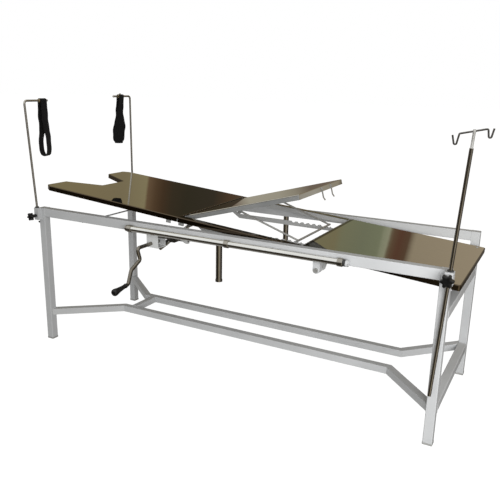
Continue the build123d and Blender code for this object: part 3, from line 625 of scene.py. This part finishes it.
# ---------------------------------------------------------------- drive
bd = Build()
x0, x1, pitch, seg = -331.0, -134.2, 5.0, 28
rings = []
nx = int((x1 - x0) / 0.625)
for i in range(nx + 1):
    x = x0 + (x1 - x0) * i / nx
    ring = []
    for j in range(seg):
        a = 2 * math.pi * j / seg
        ph = ((x - x0) / pitch - j / seg) % 1.0
        tri = min(1.0, max(0.0, (abs(ph - 0.5) * 2 - 0.25) / 0.4))
        if i in (0, nx):
            tri = 0.6
        rr = 7.0 - 1.1 * (1 - tri)
        ring.append(N(x, -290 + rr * math.cos(a), 650 + rr * math.sin(a)))
    rings.append(ring)
bd.rings(rings)
put(mesh_obj("lead_screw", bd.v, bd.f, "dark_steel", 60), "lift_screw", "lift_screw")


def helical(name, center, axis, body, node, hand):
    a, b, n = frame_of(axis)
    bd, rings, seg = Build(), [], 144
    for s, w in ((0.93, -6.0), (1.0, -5.4), (1.0, -2.7), (1.0, 0), (1.0, 2.7), (1.0, 5.4), (0.93, 6.0)):
        ring = []
        for j in range(seg):
            t = 2 * math.pi * j / seg
            ph = (18 * t / (2 * math.pi)) % 1.0
            tooth = 1 - min(1.0, max(0.0, (abs(ph - 0.5) * 2 - 0.35) / 0.35))
            rad = (13.2 + 1.55 * tooth) * s
            tt = t + hand * w / 14.0
            ring.append(center + n * (w / 1000) + (a * math.cos(tt) + b * math.sin(tt)) * (rad / 1000))
        rings.append(ring)
    bd.rings(rings)
    lathe(bd, [(8.6, -7.4), (10.0, -7.4), (10.4, -7.0), (10.4, -5.9), (10.4, 5.9), (10.4, 7.0), (10.0, 7.4), (8.6, 7.4)], center, axis, 32)
    return put(mesh_obj(name, bd.v, bd.f, "dark_steel", 40), body, node)


helical("crank_helical_gear", N(-308, -290, 620), (0, 1, 0), "crank", "crank_gear", 1)
helical("screw_helical_gear", N(-308, -290, 650), (1, 0, 0), "lift_screw", "screw_gear", 1)

# ---------------------------------------------------------------- infusion pole
bar = arc_path([N(x, -357, z) for x, z in [(909, 1155), (915.5, 1127), (923, 1127), (929.5, 1160.5), (1013, 1179), (1016.5, 1153), (1024, 1153), (1030, 1181)]], 4.0, 8)
bar = [bar[0]] + bar + [bar[-1]]
d0, d1 = (bar[1] - bar[2]).normalized(), (bar[-2] - bar[-3]).normalized()
bar = [bar[1] + d0 * 0.0004, bar[1]] + bar[2:-2] + [bar[-2], bar[-2] + d1 * 0.0004]
rad = [1.6] + [3.0] * (len(bar) - 2) + [1.6]
bd = Build()
pipe(bd, bar, 3.0, 16, radii=rad)
put(mesh_obj("iv_hooks", bd.v, bd.f, "dark_steel", 50), "iv_pole", "iv_hook_bar")
LIV = Matrix.Translation(N(948, 0, 689)) @ Matrix.Rotation(math.radians(3.0), 4, "Y")


def iv(y, h):
    return LIV @ Vector((0, 0, (h - 689) / 1000)) + Vector((0, y / 1000, 0))


bd = Build()
o = N(948, -357, 689)
ax = (LIV.to_3x3() @ Vector((0, 0, 1))).normalized()
lathe(bd, [(6.5, 1116 - 689), (6.5, 1117 - 689), (6.1, 1118.2 - 689), (4.9, 1118.6 - 689), (4.6, 1119.5 - 689), (4.6, 1166 - 689), (5.4, 1170 - 689), (5.2, 1173.5 - 689), (3.6, 1176.0 - 689), (0, 1177 - 689)], o, ax, 28)
put(mesh_obj("iv_stem", bd.v, bd.f, "plated_steel", 40), "iv_pole", "iv_hook_stem")

# ---------------------------------------------------------------- side tube plugs
bd = Build()
for sg in (-1, 1):
    lathe(bd, [(0, -588.0), (12.95, -588.0), (13.1, -588.6), (13.1, -595.4), (12.5, -596.6), (11.4, -597.0), (0, -597.1)], N(0, sg * 354.7, 683), (-1, 0, 0), 32)
put(mesh_obj("side_tube_plugs_head", bd.v, bd.f, "frame_paint", 40), "frame")
# a black ring where each head-end plug meets the side tube: painted shadow of the open tube end
bd = Build()
for sg in (-1, 1):
    lathe(bd, [(12.0, -576.5), (13.0, -576.5), (13.1, -577.0), (13.1, -587.4), (13.0, -587.9), (12.0, -587.9)], N(0, sg * 354.7, 683), (-1, 0, 0), 32)
put(mesh_obj("side_tube_end_shadow_rings", bd.v, bd.f, "bearing_plastic", 40), "frame")
# caps on the foot ends in dark steel: their dark colour is painted shade of the tube ends
bd = Build()
for sg in (-1, 1):
    lathe(bd, [(12.0, 400.6), (13.1, 400.6), (13.3, 401.2), (13.3, 410.2), (12.7, 411.6), (11.2, 412.2), (4.6, 412.2), (4.2, 411.4), (0, 411.4)], N(0, sg * 354.7, 683), (-1, 0, 0), 32)
put(mesh_obj("side_tube_plugs_foot", bd.v, bd.f, "dark_tube", 40), "frame")

# ---------------------------------------------------------------- weld beads at the joints
rnd = random.Random(7)


def bead(bd, corners, r=1.7, closed=True):
    pts = []
    n = len(corners)
    for i in range(n if closed else n - 1):
        a, b = corners[i], corners[(i + 1) % n]
        k = max(2, int((b - a).length / 0.0022))
        for j in range(k):
            pts.append(a.lerp(b, j / k))
    if not closed:
        pts.append(corners[-1])
    radii = [r * (0.8 + 0.35 * abs(math.sin(i * 1.35)) + 0.12 * rnd.random()) for i in range(len(pts))]
    pipe(bd, pts, r, 8, closed=closed, radii=radii)


bd = Build()
for sx in (-1, 1):
    for sy in (-1, 1):
        x = sx * 915.0
        bead(bd, [N(x, sy * 305.4, 670.4), N(x, sy * 339.6, 670.4), N(x, sy * 339.6, 709.4), N(x, sy * 305.4, 709.4)])
for z0, z1 in ((520, 555), (165, 200)):
    for sy in (-1, 1):
        bead(bd, [N(915.4, sy * 305, z0), N(949.6, sy * 305, z0), N(949.6, sy * 305, z1), N(915.4, sy * 305, z1)])
for sy in (-1, 1):
    bead(bd, [N(-590, sy * 79, 170.5), N(-590, sy * 79, 199.5), N(-620, sy * 79, 199.5), N(-620, sy * 79, 170.5)], 1.5)
beads = put(mesh_obj("frame_weld_beads", bd.v, bd.f, "frame_paint", 60), "frame")
beads.visible_glossy = False

# ---------------------------------------------------------------- world and lights
world = bpy.data.worlds.new("studio")
bpy.context.scene.world = world
world.use_nodes = True
wt = world.node_tree
wt.nodes.clear()
w_out = wt.nodes.new("ShaderNodeOutputWorld")


def wmath(op, a, b=None, clamp=False):
    n = wt.nodes.new("ShaderNodeMath")
    n.operation = op
    n.use_clamp = clamp
    for i, v in enumerate((a, b)):
        if v is None:
            continue
        if isinstance(v, (int, float)):
            n.inputs[i].default_value = v
        else:
            wt.links.new(v, n.inputs[i])
    return n.outputs[0]


def wmix(fac, a, b):
    n = wt.nodes.new("ShaderNodeMix")
    n.data_type = "RGBA"
    wt.links.new(fac, n.inputs["Factor"])
    for key, v in (("A", a), ("B", b)):
        sock = [s for s in n.inputs if s.name == key and s.type == "RGBA"][0]
        if isinstance(v, tuple):
            sock.default_value = (*v, 1)
        else:
            wt.links.new(v, sock)
    return [s for s in n.outputs if s.type == "RGBA"][0]


def smooth(x, lo, hi):
    n = wt.nodes.new("ShaderNodeMapRange")
    n.interpolation_type = "SMOOTHSTEP"
    n.inputs["From Min"].default_value = lo
    n.inputs["From Max"].default_value = hi
    wt.links.new(x, n.inputs["Value"])
    return n.outputs[0]


geo = wt.nodes.new("ShaderNodeTexCoord")
sep = wt.nodes.new("ShaderNodeSeparateXYZ")
wt.links.new(geo.outputs["Generated"], sep.inputs[0])
dx, dy, dz = sep.outputs
azim = wmath("ARCTAN2", dx, dy)                      # 0 behind the table, + to the head end
azn = wmath("ADD", wmath("MULTIPLY", azim, 1 / (2 * math.pi)), 0.5)
elev = wmath("MULTIPLY", wmath("ARCSINE", dz), 180 / math.pi)


def around(stops, lo=-180.0, hi=180.0):
    r = wt.nodes.new("ShaderNodeValToRGB")
    wt.links.new(wmath("MULTIPLY", wmath("SUBTRACT", azn, 0.5 + lo / 360.0), 360.0 / (hi - lo), clamp=True), r.inputs[0])
    e = r.color_ramp.elements
    while len(e) < len(stops):
        e.new(0.5)
    for k, (deg, c) in zip(e, stops):
        k.position = (deg - lo) / (hi - lo)
        k.color = (*c, 1)
    return r.outputs[0]


# what polished steel mirrors: a plain room, as rings of colour around the table
# upper ring: walls and a dark doorway behind the table
ROOM = [(-50, (0.235, 0.200, 0.112)), (-41, (0.245, 0.200, 0.113)), (-38.4, (0.235, 0.195, 0.115)), (-36.15, (0.275, 0.235, 0.135)), (-35.95, (0.155, 0.100, 0.058)), (-35.2, (0.098, 0.060, 0.033)),
        (-34.5, (0.068, 0.041, 0.023)), (-33.6, (0.048, 0.036, 0.022)), (-32.2, (0.039, 0.033, 0.021)), (-29.6, (0.044, 0.036, 0.025)), (-28.0, (0.085, 0.052, 0.030)), (-26, (0.10, 0.075, 0.05)), (-22, (0.20, 0.17, 0.10)),
        (-19.6, (0.255, 0.225, 0.145)), (-18.6, (0.225, 0.205, 0.118)), (-17.2, (0.225, 0.200, 0.115)), (-16.6, (0.215, 0.217, 0.135)), (-14.6, (0.198, 0.212, 0.140)), (-13.0, (0.215, 0.232, 0.150)), (-12.7, (0.285, 0.300, 0.205)), (-12.2, (0.32, 0.32, 0.225)),
        (-12.0, (0.14, 0.095, 0.058)), (-11.2, (0.118, 0.056, 0.036)), (-10.35, (0.118, 0.072, 0.045)), (-10.05, (0.25, 0.205, 0.145)), (-9.8, (0.345, 0.288, 0.205)), (-4, (0.39, 0.325, 0.235)), (10, (0.40, 0.34, 0.25))]
# middle ring, a little below the horizon
MID = [(-180, (0.05, 0.045, 0.04)), (-120, (0.10, 0.09, 0.08)), (-60, (0.20, 0.17, 0.12)), (-36, (0.14, 0.11, 0.08)), (-33, (0.20, 0.165, 0.13)), (-30.4, (0.175, 0.135, 0.10)), (-29.8, (0.36, 0.335, 0.265)), (-27.6, (0.34, 0.315, 0.25)), (-25.5, (0.32, 0.295, 0.225)),
       (-24.9, (0.16, 0.125, 0.095)), (-23.0, (0.155, 0.12, 0.09)), (-22.0, (0.165, 0.125, 0.095)), (-20.5, (0.25, 0.225, 0.175)), (-15, (0.26, 0.24, 0.19)), (20, (0.12, 0.10, 0.08)), (60, (0.20, 0.18, 0.15)), (120, (0.5, 0.5, 0.48)), (180, (0.05, 0.045, 0.04))]
# ring at the horizon
HORIZON = [(-180, (0.075, 0.055, 0.036)), (8, (0.075, 0.055, 0.036)), (14, (0.42, 0.38, 0.30)), (22, (0.46, 0.43, 0.36)), (27, (0.55, 0.53, 0.48)), (36, (0.50, 0.48, 0.44)), (50, (0.12, 0.10, 0.08)), (180, (0.075, 0.055, 0.036))]
# lower ring: dark floor, with a bright patch in front to the right
LOW = [(-180, (0.12, 0.105, 0.078)), (-168, (0.035, 0.030, 0.022)), (-150, (0.035, 0.030, 0.020)), (-120, (0.07, 0.06, 0.05)), (-95, (0.42, 0.41, 0.39)), (-70, (0.35, 0.34, 0.32)), (-40, (0.10, 0.09, 0.07)), (0, (0.10, 0.085, 0.07)),
       (20, (0.05, 0.04, 0.03)), (45, (0.06, 0.05, 0.04)), (80, (0.16, 0.14, 0.12)), (108, (0.35, 0.33, 0.30)), (122, (0.80, 0.78, 0.74)), (134, (0.75, 0.73, 0.69)), (141, (0.60, 0.54, 0.40)), (163, (0.78, 0.70, 0.51)), (168, (0.12, 0.105, 0.078)), (180, (0.12, 0.105, 0.078))]
front = smooth(dy, 0.25, -0.10)
gloss = wmix(smooth(elev, -9.5, -7.0), around(LOW), around(MID))
gloss = wmix(smooth(elev, -0.5, 0.8), gloss, around(HORIZON))
gloss = wmix(smooth(elev, 8.5, 11.5), gloss, around(ROOM, -50.0, 10.0))
bright = wmath("MULTIPLY", front, smooth(elev, 2.0, 9.0))
gloss = wmix(bright, gloss, (1.0, 1.0, 0.98))
gloss = wmix(smooth(dz, 0.72, 0.9), gloss, (1.0, 1.0, 0.98))
# soft fill for everything matte: from the front, a little warmer and dimmer from the side
fr = smooth(wmath("MULTIPLY", dy, -1.0), 0.0, 0.9)
fill = wmix(fr, (0.27, 0.265, 0.255), (0.53, 0.53, 0.52))
side = wmath("MULTIPLY", smooth(dx, 0.1, 1.0), 0.55)
fill = wmix(side, fill, (0.20, 0.185, 0.165))
lp = wt.nodes.new("ShaderNodeLightPath")
c1 = wmix(lp.outputs["Is Glossy Ray"], fill, gloss)
c2 = wmix(lp.outputs["Is Camera Ray"], c1, (1.0, 1.0, 1.0))
bg = wt.nodes.new("ShaderNodeBackground")
wt.links.new(c2, bg.inputs["Color"])
bg.inputs["Strength"].default_value = 1.0
wt.links.new(bg.outputs[0], w_out.inputs[0])
bpy.context.scene.view_settings.view_transform = "Standard"
bpy.context.scene.view_settings.look = "None"


def area(name, loc, target, size, power, color=(1, 1, 1)):
    d = bpy.data.lights.new(name, "AREA")
    d.shape = "RECTANGLE"
    d.size, d.size_y = size
    d.energy = power
    d.color = color
    o = bpy.data.objects.new(name, d)
    bpy.context.scene.collection.objects.link(o)
    o.location = loc
    o.rotation_euler = (Vector(target) - Vector(loc)).to_track_quat("-Z", "Y").to_euler()
    return o


key = area("key", (1.9, -1.75, 1.15), (0.6, 0, 0.45), (1.4, 1.4), 46)
key.visible_glossy = False

floor_me = bpy.data.meshes.new("studio_floor")
bm = bmesh.new()
bmesh.ops.create_grid(bm, x_segments=2, y_segments=2, size=40)
bm.to_mesh(floor_me)
bm.free()
floor = bpy.data.objects.new("studio_floor", floor_me)
bpy.context.scene.collection.objects.link(floor)
floor.location.z = -0.0005
fm, fnt, fb = new_mat("floor_paper")
fb.inputs["Base Color"].default_value = (0.22, 0.22, 0.22, 1)
fb.inputs["Roughness"].default_value = 1.0
fb.inputs["Specular IOR Level"].default_value = 0.0
fb.inputs["Emission Color"].default_value = (0.965, 0.965, 0.965, 1)
fb.inputs["Emission Strength"].default_value = 1.0
floor_me.materials.append(fm)
floor.visible_glossy = False
floor.visible_diffuse = False
for n in ("side_rail_far", "leg_head_far"):
    NODES[n].visible_glossy = False
